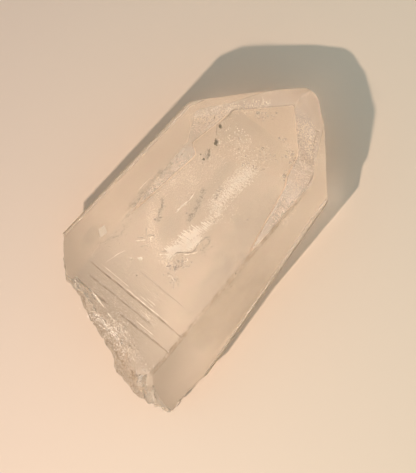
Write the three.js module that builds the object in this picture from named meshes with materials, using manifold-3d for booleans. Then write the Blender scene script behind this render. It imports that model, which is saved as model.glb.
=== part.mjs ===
// A clear quartz crystal: one six-sided prism with a six-sided point, broken off
// its bed at the other end, lying on a prism face.
// Millimetres, +Z up, +X along the long axis toward the point, +Y to its left.
// The face it lies on is at z = 0, and the box is centred on x = 0 and y = 0.
import * as THREE from "three";
import Module from "manifold-3d";
import { ConvexGeometry } from "three/addons/geometries/ConvexGeometry.js";
import { mergeVertices } from "three/addons/utils/BufferGeometryUtils.js";

// Prism: flat top and bottom, and four side faces that meet in the two waist edges
const height = 22;
const leftRidge = 11.3; // y of the edge between the top and the upper left face
const rightRidge = -10.2;
const leftWaist = [-17, 18.4, 9.9]; // a point on each waist edge
const rightWaist = [-17, -18.1, 8.3];
const leftTaper = 7; // degrees the lower side faces lean in toward the point
const rightTaper = 9.3;

// Point: the usual lean of a rhombohedral face, and a flatter one on top
const rhombLean = 38.2;
const topLean = 31;
const topSkew = 20.6; // degrees the top point face is turned toward the left
const topBreak = [12.5, 0.25, height]; // where that face leaves the flat top
const leftShoulder = [14.6, 15.9, 14];
const lowerLeftShoulder = [14.6, 15.9, 11];
const rightShoulder = [17.2, -14.9, 13.9];
const bottomBreak = [24.4, 0, 0];

// The blunt end of the point: level flats, each turned from the long axis
const tipRise = 0.04;
const tipFlats = [
  { turn: 37, at: [30.4, 2.3, 11] },
  { turn: -6, at: [30.8, 0.6, 11] },
  { turn: -33, at: [29.5, -2.7, 11] },
];

// Worn edges: how far each edge is cut back
const wear = 0.12;

// Broken end: where its surface stands at the rim, the belly and the foot of the
// crystal. Each line runs from left to right as y, x.
const breakRim = [
  [19, -16.2], [16, -18.5], [14, -20.8], [11.8, -22.4], [2, -23.7], [-6.4, -26.5], [-13.2, -29.4], [-19, -27],
];
const breakBelly = [
  [19, -16.4], [14, -21.4], [12.2, -23.6], [9.7, -23.7], [6.2, -25.3], [2, -26.5], [-2.7, -28.2], [-5.3, -30.1],
  [-10.9, -31.1], [-15, -30], [-19, -29],
];
const breakFoot = [[19, -17.5], [12, -21.6], [4, -25.2], [-4, -28.2], [-12, -28.4], [-19, -25]];
const bellyHeight = 11;
const dishes = [
  { y: 9, z: 17, radius: 6, depth: 1 },
  { y: -1, z: 17.5, radius: 6, depth: 1.1 },
  { y: -8, z: 5, radius: 6, depth: 1.2 },
  { y: 3.5, z: 4, radius: 6.5, depth: 1.1 },
  { y: 15, z: 6, radius: 4.5, depth: 0.8 },
  { y: -15.5, z: 15.5, radius: 3.5, depth: 0.7 },
];
const blow = { y: -13, z: 21 }; // the ribs run in arcs round the point of the blow
const ribDepth = 0.12;
const ribSpacing = 2.6;
const breakCell = 0.75; // grid of the broken surface

// Growth steps: shallow grooves across the top face. turn is in degrees.
const growthSteps = [
  { x: -17.4, y: 0.2, span: 22, depth: 0.16, turn: 0.2 },
  { x: -19.2, y: 2.5, span: 15, depth: 0.11, turn: 1.1 },
  { x: -21.2, y: 7, span: 8.2, depth: 0.12, turn: -0.7 },
  { x: -21, y: -4.8, span: 12.4, depth: 0.14, turn: 1.4 },
  { x: -13.2, y: -2.1, span: 11, depth: 0.06, turn: 0 },
  { x: -24.2, y: -4, span: 3.4, depth: 0.08, turn: -5 },
];
const grooveSlope = 0.6;

// Chips knocked off edges, each the bite of a small ball
const chips = [
  { at: [-28.7, -11.4, 22.9], radius: 3.4 },
  { at: [-26.6, -23.4, 9.2], radius: 5.9 },
  { at: [-22.6, -19.2, 9.4], radius: 1.6 },
  { at: [-12.3, 18.9, 10.4], radius: 0.9 },
  { at: [28.2, -5.4, 15.6], radius: 0.9 },
];

const wasm = await Module();
wasm.setup();

function planeThrough(normal, at) {
  return new THREE.Plane().setFromNormalAndCoplanarPoint(normal.normalize(), new THREE.Vector3(...at));
}

// A crystal face: azimuth runs from the top toward the left, and lean tips the
// face's normal toward the point.
function face(azimuth, lean, at) {
  const around = THREE.MathUtils.degToRad(azimuth);
  const tip = THREE.MathUtils.degToRad(lean);
  const side = Math.cos(tip);
  return planeThrough(new THREE.Vector3(Math.sin(tip), side * Math.sin(around), side * Math.cos(around)), at);
}

function skewedTopFace() {
  const { normal } = face(0, topLean, topBreak);
  const upright = new THREE.Vector3(0, 0, 1);
  return planeThrough(normal.applyAxisAngle(upright, THREE.MathUtils.degToRad(topSkew)), topBreak);
}

function tipFlat({ turn, at }) {
  const angle = THREE.MathUtils.degToRad(turn);
  return planeThrough(new THREE.Vector3(Math.cos(angle), Math.sin(angle), tipRise), at);
}

const crystalFaces = [
  face(0, 0, [0, 0, height]),
  face(180, 0, [0, 0, 0]),
  face(60, 0, [0, leftRidge, height]),
  face(300, 0, [0, rightRidge, height]),
  face(120, leftTaper, leftWaist),
  face(240, rightTaper, rightWaist),
  skewedTopFace(),
  face(60, rhombLean, leftShoulder),
  face(120, rhombLean, lowerLeftShoulder),
  face(300, rhombLean, rightShoulder),
  face(240, rhombLean, rightShoulder),
  face(180, rhombLean, bottomBreak),
  ...tipFlats.map(tipFlat),
];

// The flat worn along the edge between two faces
function wornEdge(a, b) {
  const normal = a.normal.clone().add(b.normal);
  const toEdge = -(a.constant + b.constant) / normal.length();
  return new THREE.Plane(normal.normalize(), wear - toEdge);
}

function wornEdges(faces) {
  const pairs = faces.flatMap((a, i) => faces.slice(i + 1).map((b) => [a, b]));
  const meeting = pairs.filter(([a, b]) => a.normal.dot(b.normal) > -0.6);
  return meeting.map(([a, b]) => wornEdge(a, b));
}

// Corners of the solid inside every plane: the points where three planes meet and
// no other plane cuts them off
function corners(planes) {
  const found = [];
  const crossing = new THREE.Matrix3();
  const inside = (point) => planes.every((plane) => plane.distanceToPoint(point) < 1e-6);
  planes.forEach((a, i) => {
    planes.slice(i + 1).forEach((b, j) => {
      planes.slice(i + j + 2).forEach((c) => {
        crossing.set(...a.normal, ...b.normal, ...c.normal);
        if (Math.abs(crossing.determinant()) < 1e-6) return;
        const point = new THREE.Vector3(-a.constant, -b.constant, -c.constant);
        point.applyMatrix3(crossing.invert());
        if (inside(point)) found.push(point);
      });
    });
  });
  return found;
}

// The x of a line of y, x stations at y
function along(line, y) {
  const next = line.findIndex(([stationY]) => stationY <= y);
  if (next <= 0) return line.at(next)[1];
  const [[leftY, leftX], [rightY, rightX]] = line.slice(next - 1, next + 1);
  return THREE.MathUtils.mapLinear(y, leftY, rightY, leftX, rightX);
}

// Where the broken surface stands at y, z: the three lines, hollowed into shallow
// dishes that meet in sharp ridges, with ribs round the point of the blow
function breakAt(y, z) {
  const above = z > bellyHeight;
  const reach = above ? height - bellyHeight : bellyHeight;
  const share = (z - bellyHeight) / reach;
  const edge = along(above ? breakRim : breakFoot, y);
  const plain = THREE.MathUtils.lerp(along(breakBelly, y), edge, share * share);
  const hollows = dishes.map((dish) => {
    const away = Math.hypot(y - dish.y, z - dish.z) / dish.radius;
    return dish.depth * (1 - away * away);
  });
  const fromBlow = Math.hypot(y - blow.y, z - blow.z);
  const ribs = ribDepth * Math.sin((2 * Math.PI * fromBlow) / ribSpacing);
  return plain + Math.max(0, ...hollows) + ribs;
}

// Everything beyond the break, as one block whose near side is the broken surface
function beyondBreak() {
  const [deep, wide, tall] = [20, 44, 28];
  const middle = -45;
  const across = Math.round(wide / breakCell);
  const up = Math.round(tall / breakCell);
  const block = new THREE.BoxGeometry(deep, wide, tall, 1, across, up);
  block.translate(middle, 0, height / 2);
  const { position } = block.attributes;
  for (let i = 0; i < position.count; i += 1) {
    if (position.getX(i) > middle) position.setX(i, breakAt(position.getY(i), position.getZ(i)));
  }
  return block;
}

function growthGroove({ x, y, span, depth, turn }) {
  const groove = new THREE.CylinderGeometry(1, 1, span, 3, 1, false, Math.PI);
  groove.scale(1, 1, grooveSlope);
  groove.rotateZ(THREE.MathUtils.degToRad(turn));
  return groove.translate(x, y, height + grooveSlope - depth);
}

function chip({ at, radius }) {
  return new THREE.IcosahedronGeometry(radius, Math.round(radius)).translate(...at);
}

function solid(geometry) {
  const plain = geometry.clone();
  plain.deleteAttribute("normal");
  plain.deleteAttribute("uv");
  const merged = mergeVertices(plain, 1e-4);
  const mesh = new wasm.Mesh({
    numProp: 3,
    vertProperties: new Float32Array(merged.attributes.position.array),
    triVerts: new Uint32Array(merged.index.array),
  });
  return new wasm.Manifold(mesh);
}

function geometryOf(manifold) {
  const { vertProperties, triVerts } = manifold.getMesh();
  const geometry = new THREE.BufferGeometry();
  geometry.setAttribute("position", new THREE.BufferAttribute(vertProperties, 3));
  geometry.setIndex(new THREE.BufferAttribute(triVerts, 1));
  return geometry;
}

function quartzCrystal() {
  const farEnd = face(0, -90, [-40, 0, 0]);
  const planes = [...crystalFaces, ...wornEdges(crystalFaces), farEnd];
  const whole = solid(new ConvexGeometry(corners(planes)));
  const cuts = [beyondBreak(), ...growthSteps.map(growthGroove), ...chips.map(chip)];
  const geometry = geometryOf(cuts.reduce((body, cut) => body.subtract(solid(cut)), whole));
  geometry.computeBoundingBox();
  const middle = geometry.boundingBox.getCenter(new THREE.Vector3());
  geometry.translate(-middle.x, -middle.y, 0);
  const faceted = geometry.toNonIndexed();
  faceted.computeVertexNormals();
  return faceted;
}

const crystal = new THREE.Mesh(
  quartzCrystal(),
  new THREE.MeshStandardMaterial({
    color: 0xdccbb6,
    roughness: 0.12,
    metalness: 0,
    transparent: true,
    opacity: 0.55,
  }),
);
crystal.name = "quartz_crystal";

const specimen = new THREE.Group();
specimen.add(crystal);

export default specimen;
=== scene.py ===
import math

import bmesh
import bpy
import numpy as np
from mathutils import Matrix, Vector, noise


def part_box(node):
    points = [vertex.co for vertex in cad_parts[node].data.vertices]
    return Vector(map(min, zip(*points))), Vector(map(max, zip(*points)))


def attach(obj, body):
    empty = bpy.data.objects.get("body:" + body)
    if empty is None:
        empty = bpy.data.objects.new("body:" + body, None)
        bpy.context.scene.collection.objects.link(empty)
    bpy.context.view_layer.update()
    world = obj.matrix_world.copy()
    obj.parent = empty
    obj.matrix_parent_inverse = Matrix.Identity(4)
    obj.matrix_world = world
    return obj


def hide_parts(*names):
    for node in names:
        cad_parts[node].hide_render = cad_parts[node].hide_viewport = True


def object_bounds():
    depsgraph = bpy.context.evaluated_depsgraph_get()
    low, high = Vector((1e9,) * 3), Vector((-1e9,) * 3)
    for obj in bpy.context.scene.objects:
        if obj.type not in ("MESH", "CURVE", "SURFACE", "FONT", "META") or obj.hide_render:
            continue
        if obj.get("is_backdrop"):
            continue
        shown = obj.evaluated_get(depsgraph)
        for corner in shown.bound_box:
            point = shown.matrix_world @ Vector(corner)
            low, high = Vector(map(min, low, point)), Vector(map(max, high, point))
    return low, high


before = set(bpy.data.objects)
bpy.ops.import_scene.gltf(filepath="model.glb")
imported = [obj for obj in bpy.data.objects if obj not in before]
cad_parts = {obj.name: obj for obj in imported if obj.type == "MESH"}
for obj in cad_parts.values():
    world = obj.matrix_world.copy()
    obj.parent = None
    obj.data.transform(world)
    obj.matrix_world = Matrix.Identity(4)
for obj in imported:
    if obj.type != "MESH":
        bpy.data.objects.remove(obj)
cadLow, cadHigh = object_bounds()

crystalSize = {
    "length": 62.03,
    "height": 22,
    "axis": (0.183, 0.27),  # its long axis, from the middle of its box
}

# its own millimetre, so that every size below follows the frame
solidLow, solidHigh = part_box("quartz_crystal")
mm = (solidHigh.x - solidLow.x) / crystalSize["length"]
middle = (solidLow + solidHigh) / 2
halfHeight = crystalSize["height"] / 2
scene = bpy.context.scene
print("frame loaded, crystal", round((solidHigh.x - solidLow.x) * 1000, 1), "mm long")


# millimetres along the axis, to its left, and up from the surface the crystal lies on
def place(x, y, z):
    axisX, axisY = crystalSize["axis"]
    return Vector((middle.x + (x + axisX) * mm, middle.y + (y + axisY) * mm, solidLow.z + z * mm))


origin = np.array(place(0, 0, 0))


# arrays of points, from those millimetres to the frame's metres
def toFrame(points):
    return np.asarray(points) * mm + origin


# and back
def fromFrame(points):
    return (np.array(points) - origin) / mm


# eases from 0 at low to 1 at high, whichever way round they are
def smooth(low, high, value):
    share = np.clip((value - low) / (high - low), 0, 1)
    return share * share * (3 - 2 * share)


seedShift = np.array([7.31, 3.77, 5.13])  # moves the hills on for each seed


# soft random hills over points in mm, from -1 to 1
def hills(points, size, seed=0):
    shifted = np.asarray(points, float) / size + seed * seedShift
    return np.array([noise.noise(row) for row in shifted.tolist()])


# x and y turned by an angle
def turned(x, y, angle):
    return x * math.cos(angle) - y * math.sin(angle), x * math.sin(angle) + y * math.cos(angle)


# a mesh piece from points in mm
def addMesh(name, points, faces, material, flat=False):
    mesh = bpy.data.meshes.new(name)
    mesh.from_pydata(toFrame(points).tolist(), [], faces)
    mesh.validate()
    mesh.materials.append(material)
    mesh.polygons.foreach_set("use_smooth", [not flat] * len(mesh.polygons))
    piece = bpy.data.objects.new(name, mesh)
    scene.collection.objects.link(piece)
    return piece


def newMaterial(name):
    material = bpy.data.materials.new(name)
    material.use_nodes = True
    return material, material.node_tree.nodes


# plain values for a node's sockets, by name or number
def setInputs(node, values):
    for socket, value in values.items():
        node.inputs[socket].default_value = value


def addNode(nodes, kind, values=None, **settings):
    node = nodes.new("ShaderNode" + kind)
    for setting, value in settings.items():
        setattr(node, setting, value)
    setInputs(node, values or {})
    return node


# links between nodes: node, output, node, input
def wire(*joins):
    for source, output, target, entry in joins:
        source.id_data.links.new(source.outputs[output], target.inputs[entry])


cameraSetup = {
    "over": (-1.08, -2.23),  # the point it looks straight down on
    "distance": 300,  # above the crystal's mid height
    "covers": 85.14,  # long side of its view at mid height
    "turn": -50,  # degrees, so that the point aims up and to the right
    "sensor": 36,
    "nearest": 0.01,  # metres
}

cameraData = bpy.data.cameras.new("camera")
camera = bpy.data.objects.new("camera", cameraData)
scene.collection.objects.link(camera)
camera.location = place(*cameraSetup["over"], halfHeight + cameraSetup["distance"])
camera.rotation_euler.z = math.radians(cameraSetup["turn"])
cameraData.sensor_width = cameraSetup["sensor"]
cameraData.lens = cameraData.sensor_width * cameraSetup["distance"] / cameraSetup["covers"]
cameraData.clip_start = cameraSetup["nearest"]
scene.camera = camera

floorLook = {
    "nearColour": (0.59, 0.475, 0.391, 1),  # on the crystal's left side, by its base
    "farColour": (0.787, 0.67, 0.521, 1),  # on its right side, by its point
    "fade": 130,  # from one to the other
    "fadeTurn": -58,  # degrees from the point's direction
    "roughness": 0.85,
    "shine": 0.15,
    "size": 3000,
    "gap": 0.05,  # between it and the crystal
}


# plain paper with painted light and shade: its colour goes from darker by the crystal's base to lighter
# by its point, standing in for light that falls unevenly across the floor
def makePaper():
    look = floorLook
    material, nodes = newMaterial("palePaper")
    shader = nodes["Principled BSDF"]
    setInputs(shader, {"Roughness": look["roughness"], "Specular IOR Level": look["shine"]})
    where = addNode(nodes, "TexCoord")
    fadeTurn = math.radians(look["fadeTurn"])
    direction = (math.cos(fadeTurn), math.sin(fadeTurn), 0)
    toward = addNode(nodes, "VectorMath", {1: direction}, operation="DOT_PRODUCT")
    halfFade = look["fade"] / 2 * mm
    across = addNode(nodes, "MapRange", {"From Min": -halfFade, "From Max": halfFade})
    tone = addNode(nodes, "Mix", {"A": look["nearColour"], "B": look["farColour"]}, data_type="RGBA")
    wire(
        (where, "Object", toward, 0),
        (toward, "Value", across, "Value"),
        (across, "Result", tone, "Factor"),
        (tone, "Result", shader, "Base Color"),
    )
    return material


bpy.ops.mesh.primitive_plane_add(size=floorLook["size"] * mm, location=place(0, 0, -floorLook["gap"]))
floor = bpy.context.object
floor.name = "floor"
floor.data.materials.append(makePaper())
floor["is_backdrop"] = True

# the small lamp behind the broken end, which throws the shadow
lampLook = {
    "azimuth": 182.25,  # degrees from the point's direction
    "elevation": 53,
    "distance": 200,
    "size": 7,
    "power": 0.345,
    "colour": (1.0, 0.80, 0.69),
}
# its wide twin, higher up, is only for the light that comes through the crystal
throughLook = {
    "azimuth": 170,
    "elevation": 70,
    "distance": 420,
    "size": 400,
    "power": 1.345,
    "colour": (1.0, 0.885, 0.83),
    "sparkle": 0.08,  # how bright it looks where nothing has scattered its light
}


def addLamp(name, look):
    azimuth = math.radians(look["azimuth"])
    elevation = math.radians(look["elevation"])
    flat = math.cos(elevation)
    toLight = Vector((math.cos(azimuth) * flat, math.sin(azimuth) * flat, math.sin(elevation)))
    data = bpy.data.lights.new(name, "AREA")
    data.shape = "DISK"
    data.size = look["size"] * mm
    data.energy = look["power"]
    data.color = look["colour"]
    lamp = bpy.data.objects.new(name, data)
    scene.collection.objects.link(lamp)
    lamp.location = place(0, 0, halfHeight) + toLight * look["distance"] * mm
    lamp.rotation_euler = toLight.to_track_quat("Z", "Y").to_euler()
    return lamp


# the lamp at full strength only for light that something has scattered
def dimUnscattered(lamp, sparkle):
    lamp.data.use_nodes = True
    nodes = lamp.data.node_tree.nodes
    path = addNode(nodes, "LightPath")
    isScattered = addNode(nodes, "Math", {1: 0.5}, operation="GREATER_THAN")
    strength = addNode(nodes, "Math", {1: sparkle}, operation="MAXIMUM")
    wire(
        (path, "Diffuse Depth", isScattered, 0),
        (isScattered, 0, strength, 0),
        (strength, 0, nodes["Emission"], "Strength"),
    )


lamp = addLamp("lamp", lampLook)
lamp.visible_transmission = False
throughLamp = addLamp("throughLamp", throughLook)
throughLamp.visible_camera = False
throughLamp.visible_diffuse = False
throughLamp.visible_glossy = False
dimUnscattered(throughLamp, throughLook["sparkle"])

roomLook = {
    # the tone of the room at each height, from 0 for level to 1 for overhead
    "tones": {
        0.3: (0.85, 0.60, 0.41, 1),
        0.7: (0.75, 0.53, 0.37, 1),
        0.85: (0.52, 0.49, 0.42, 1),
    },
    "fill": (0.455, 0.54, 0.57, 1),  # the cool light it gives the shadows
}


def makeRoom():
    world = bpy.data.worlds.new("room")
    world.use_nodes = True
    nodes = world.node_tree.nodes
    where = addNode(nodes, "TexCoord")
    split = addNode(nodes, "SeparateXYZ")
    ramp = addNode(nodes, "ValToRGB")
    stops = ramp.color_ramp.elements
    stops.remove(stops[1])
    for k, (height, colour) in enumerate(roomLook["tones"].items()):
        stop = stops[0] if k == 0 else stops.new(height)
        stop.position = height
        stop.color = colour
    path = addNode(nodes, "LightPath")
    tone = addNode(nodes, "Mix", {"B": roomLook["fill"]}, data_type="RGBA")
    wire(
        (where, "Generated", split, 0),
        (split, "Z", ramp, "Fac"),
        (ramp, "Color", tone, "A"),
        (path, "Is Diffuse Ray", tone, "Factor"),
        (tone, "Result", nodes["Background"], "Color"),
    )
    return world


scene.world = makeRoom()

# light goes round inside quartz many times before it leaves
scene.cycles.max_bounces = 24
scene.cycles.glossy_bounces = 16
scene.cycles.transmission_bounces = 24
scene.cycles.sample_clamp_indirect = 40
scene.view_settings.view_transform = "Standard"
print("camera, floor and light set")

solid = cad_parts["quartz_crystal"].data
solidCorners = fromFrame([v.co for v in solid.vertices])

faceSearch = {
    "leastArea": 0.9,  # square mm
    "sameWay": 0.99995,  # cosine between two normals of one face
    "sameDistance": 0.03,
    "slack": 0.05,  # the solid may stand this far out of a face
    "prismArea": 150,  # the prism's faces are larger than this
    "pointLean": 0.2,  # the point's faces lean more than this toward the tip
}


# flat faces that no part of the solid stands out of, as outward normals and distances in mm
def flatFaces():
    found = []
    for polygon in solid.polygons:
        normal = np.array(polygon.normal)
        distance = normal @ solidCorners[polygon.vertices[0]]
        area = polygon.area / mm ** 2
        for face in found:
            sameWay = face["normal"] @ normal > faceSearch["sameWay"]
            if sameWay and abs(face["distance"] - distance) < faceSearch["sameDistance"]:
                face["area"] += area
                break
        else:
            found.append({"normal": normal, "distance": distance, "area": area})
    wide = [f for f in found if f["area"] > faceSearch["leastArea"]]
    slack = faceSearch["slack"]
    return [f for f in wide if (solidCorners @ f["normal"]).max() < f["distance"] + slack]


def isPrismFace(face):
    return face["area"] > faceSearch["prismArea"] and abs(face["normal"][0]) < faceSearch["pointLean"]


# where a side face stands round the prism, starting at the top and going left
def roundPrism(face):
    return (math.atan2(face["normal"][1], face["normal"][2]) + 0.2) % (2 * math.pi)


faces = flatFaces()
normals = np.array([f["normal"] for f in faces])
distances = np.array([f["distance"] for f in faces])
pointFaces = normals[:, 0] > faceSearch["pointLean"]
sides = sorted(filter(isPrismFace, faces), key=roundPrism)
print(len(faces), "flat faces read off the solid,", len(sides), "of them prism faces")

edgeSoftness = 0.07


# how far points stand outside the crystal, in mm, with softly rounded edges
def outside(points):
    gaps = points @ normals.T - distances
    most = gaps.max(axis=1)
    return most + edgeSoftness * np.log(np.exp((gaps - most[:, None]) / edgeSoftness).sum(axis=1))


# y and z of the prism edge that follows side k, where the cross-section stands at x
def prismEdge(k, x):
    a, b = sides[k % 6], sides[(k + 1) % 6]
    rows = np.array([a["normal"][1:], b["normal"][1:]])
    levels = np.array([a["distance"] - a["normal"][0] * x, b["distance"] - b["normal"][0] * x])
    return (np.linalg.inv(rows) @ levels).T


breakShape = {
    # x of the broken surface along the rim, the belly and the foot, from left to right: y, x
    "rim": [
        (19, -16.2), (16, -18.5), (14, -20.8), (11.8, -22.4), (2, -23.7), (-6.4, -26.5), (-13.2, -29.7),
        (-17, -30), (-19, -28.6),
    ],
    "belly": [
        (19, -16.4), (14, -21.4), (12.2, -23.6), (9.7, -23.7), (6.2, -25.3), (2, -26.5), (-2.7, -28.2),
        (-5.3, -30.1), (-10.9, -31.1), (-13.4, -30), (-17, -30), (-19, -29),
    ],
    "foot": [
        (19, -17.5), (12, -21.6), (4, -25.6), (-4, -29), (-9, -30.2), (-13.5, -30), (-17, -29),
        (-19, -27.5),
    ],
    "bellyHeight": 11,
    # shallow dishes struck out of it: y, z, radius, depth
    "dishes": [
        (9, 17, 6, 1),
        (-1, 17.5, 6, 1.1),
        (-4, 5, 4, 0.6),
        (3.5, 4, 6.5, 1.1),
        (15, 6, 4.5, 0.8),
    ],
    "blow": (-13, 21),  # ribs run in arcs round this point: y, z
    "ribs": (0.12, 2.6),  # depth and spacing
    "lumps": [(0.3, 2.1), (0.17, 0.95), (0.07, 0.4)],  # heights and sizes of the broken lumps
    "lumpTop": 0.5,  # how far they rise, and how fast they fall away from sharp crests
    "lumpFall": 2.2,
}


# x of a line of y, x stations at y
def along(line, y):
    ys, xs = np.array(line)[::-1].T
    return np.interp(y, ys, xs)


# x of the broken surface at y, z
def breakAt(y, z):
    shape = breakShape
    above = z > shape["bellyHeight"]
    reach = np.where(above, crystalSize["height"] - shape["bellyHeight"], shape["bellyHeight"])
    share = (z - shape["bellyHeight"]) / reach
    edge = np.where(above, along(shape["rim"], y), along(shape["foot"], y))
    belly = along(shape["belly"], y)
    x = belly + (edge - belly) * share ** 2
    hollow = np.zeros_like(x)
    for dishY, dishZ, radius, depth in shape["dishes"]:
        away = np.hypot(y - dishY, z - dishZ) / radius
        hollow = np.maximum(hollow, depth * (1 - away ** 2))
    ribDepth, ribSpacing = shape["ribs"]
    fromBlow = np.hypot(y - shape["blow"][0], z - shape["blow"][1])
    x = x + hollow + ribDepth * np.sin(2 * math.pi * fromBlow / ribSpacing)
    points = np.stack([x * 0, y, z], axis=1)
    for seed, (tall, size) in enumerate(shape["lumps"]):
        x = x + tall * (shape["lumpTop"] - shape["lumpFall"] * np.abs(hills(points, size, seed + 1)))
    return x


gridShape = {
    "edgeSteps": (0, 0.12, 0.26, 0.42, 0.62),  # columns beside each edge
    "columnSteps": (0.24, 0.42, 0.5, 0.9, 0.5, 0.42),  # on each side, starting at the top
    "breakRows": 46,
    "baseRows": 128,  # close rows where the growth steps are
    "baseEnd": -12,
    "middleRows": 66,
    "pointRows": 56,
    "axis": (0.0, 11.0),  # y and z of the line that the rows stand round
    "pointCentre": 6,  # the point's rows spread from here
    "rimStart": -25.0,  # first guess at where the break starts
    "rimRounds": 25,  # how often that is corrected
    # how far out they are looked for, and how often that is halved
    "shoulderSearch": (32.0, 30),
    "skinSearch": (60.0, 34),
}


# shares of the way across each side, closer together beside its edges
def columnShares(width, step):
    steps = gridShape["edgeSteps"]
    inner = width - 2 * steps[-1]
    count = max(2, round(inner / step))
    evenly = steps[-1] + inner * np.arange(1, count) / count
    across = [*steps, *evenly, *(width - s for s in steps[:0:-1])]
    return np.array(across) / width


atMiddle = [prismEdge(k, 0.0) for k in range(6)]
columnSide, columnShare = [], []
for k in range(6):
    shares = columnShares(np.linalg.norm(atMiddle[k] - atMiddle[k - 1]), gridShape["columnSteps"][k])
    columnSide += [k] * len(shares)
    columnShare += list(shares)
columnSide, columnShare = np.array(columnSide), np.array(columnShare)
columns = len(columnSide)


# the flat prism under each column at x
def prismPoint(x):
    edges = np.array([prismEdge(k, x) for k in range(6)])
    start = edges[columnSide - 1, np.arange(columns)]
    end = edges[columnSide, np.arange(columns)]
    yz = start + (end - start) * columnShare[:, None]
    return np.column_stack([x, yz])


# narrows down by halves where each of many rays leaves the crystal
def halved(isOut, count, farthest, rounds):
    near, far = np.zeros(count), np.full(count, farthest)
    for attempt in range(rounds):
        trial = (near + far) / 2
        out = isOut(trial)
        near, far = np.where(out, near, trial), np.where(out, trial, far)
    return near, far


def pastPoint(x):
    return (prismPoint(x) @ normals[pointFaces].T - distances[pointFaces]).max(axis=1) > 0


rimX = np.full(columns, gridShape["rimStart"])
for attempt in range(gridShape["rimRounds"]):
    flat = prismPoint(rimX)
    rimX = 0.5 * rimX + 0.5 * breakAt(flat[:, 1], flat[:, 2])
rim = prismPoint(rimX)
shoulderX = sum(halved(pastPoint, columns, *gridShape["shoulderSearch"])) / 2
shoulder = prismPoint(shoulderX)

# bites knocked out of the edges: middle, radius
chips = [
    ((-28.7, -11.4, 22.9), 3.4),
    ((-26.2, -37.3, 9.2), 20),
    ((-22.6, -19.2, 9.4), 1.6),
    ((-12.3, 18.9, 10.4), 0.9),
    ((28.2, -5.4, 15.6), 0.9),
    ((-17.6, 11.8, 22.4), 0.75),
    ((-15, -10.6, 22.3), 0.55),
    ((-9.4, -10.6, 22.3), 0.45),
    ((-5, -10.5, 22.3), 0.6),
    ((5.6, -10.4, 22.3), 0.55),
    ((9.5, -10.4, 22.3), 0.45),
    ((4, 11.3, 22.3), 0.5),
]
chipFinish = {
    "lumps": (0.14, 0.35),  # height and size, as shares of the radius
    "smoothOver": 2.5,  # lumps grow no larger past this radius
    "reach": 1.3,  # only points this near are looked at, in radii
}


# takes the chips out of surface points, along lines from the crystal's middle
def chipped(points, origins):
    reach = np.linalg.norm(points - origins, axis=1)
    rays = (points - origins) / reach[:, None]
    lumpHeight, lumpSize = chipFinish["lumps"]
    for seed, (centre, radius) in enumerate(chips):
        close = np.linalg.norm(points - centre, axis=1) < radius * chipFinish["reach"]
        toCentre = np.array(centre) - origins[close]
        nearest = (toCentre * rays[close]).sum(axis=1)
        bumps = min(radius, chipFinish["smoothOver"])
        rough = radius + lumpHeight * bumps * hills(points[close], lumpSize * bumps, seed + 20)
        square = rough ** 2 - (toCentre ** 2).sum(axis=1) + nearest ** 2
        entry = nearest - np.sqrt(np.maximum(square, 0))
        reach[close] = np.where(square > 0, np.minimum(reach[close], entry), reach[close])
    return origins + rays * reach[:, None]


# pushes points out to the worn and chipped surface, along lines from the crystal's middle
def ontoCrystal(points, origins):
    rays = points - origins
    rays /= np.linalg.norm(rays, axis=1)[:, None]

    def isOut(reach):
        return outside(origins + rays * reach[:, None]) > 0

    far = halved(isOut, len(points), *gridShape["skinSearch"])[1]
    return chipped(origins + rays * far[:, None], origins)


# evenly spaced shares of the way along, up to 1
def stepsTo(count):
    return np.arange(1, count + 1) / count


rows = []
centreY, centreZ = gridShape["axis"]
core = np.tile([0.0, centreY, centreZ], (columns, 1))
for share in stepsTo(gridShape["breakRows"]):
    y = centreY + (rim[:, 1] - centreY) * share
    z = centreZ + (rim[:, 2] - centreZ) * share
    rows.append(chipped(np.column_stack([breakAt(y, z), y, z]), core))
breakCount = len(rows) * columns

baseEnd = gridShape["baseEnd"]
stations = [rimX + (baseEnd - rimX) * share for share in stepsTo(gridShape["baseRows"])]
stations += [baseEnd + (shoulderX - baseEnd) * share for share in stepsTo(gridShape["middleRows"])]
for x in stations:
    origins = core.copy()
    origins[:, 0] = np.minimum(x, gridShape["pointCentre"])
    rows.append(ontoCrystal(prismPoint(x), origins))

tip = solidCorners[solidCorners[:, 0].argmax()]
origins = core + (gridShape["pointCentre"], 0, 0)
for share in stepsTo(gridShape["pointRows"])[:-1]:
    rows.append(ontoCrystal(shoulder + (tip - shoulder) * share, origins))

basePole = [breakAt(np.array([centreY]), np.array([centreZ]))[0], centreY, centreZ]
tipPole = ontoCrystal(tip[None, :], origins[:1])[0]
skin = np.vstack([*rows, basePole, tipPole])
rowStarts = np.arange(len(rows) - 1) * columns
here = (rowStarts[:, None] + np.arange(columns)).ravel()
beside = (rowStarts[:, None] + (np.arange(columns) + 1) % columns).ravel()
skinFaces = np.stack([here, here + columns, beside + columns, beside], axis=1).tolist()
last = (len(rows) - 1) * columns
for c in range(columns):
    d = (c + 1) % columns
    skinFaces.append((len(skin) - 2, c, d))
    skinFaces.append((len(skin) - 1, last + d, last + c))
print("crystal grid", len(rows), "rows by", columns, "columns")

quartzLook = {
    "colour": (0.955, 0.95, 0.91, 1),
    "clearness": 0.9,
    "ior": 1.544,
    "polish": 0.035,  # roughness of the clean faces
    "satin": 0.05,  # how much that varies
    "satinSize": 4,
    "grain": 0.035,  # bump height
    "grainStretch": (2.2, 0.28, 0.6),  # its streaks per mm along each axis
    "grainStrength": 0.25,
    "crackle": (0.45, 0.3),  # size and height of the crackle on broken surfaces
    "slopeWarmColour": (1.0, 0.80, 0.60, 1),  # painted warmth on the lower slopes, which warms the cool shade seen through them
    "dirtAndShadeColour": (0.3, 0.25, 0.18, 1),  # darkens the base colour: dirt, and painted shade, in the growth steps, on the break, along edges and on the upper right side
}
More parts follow.
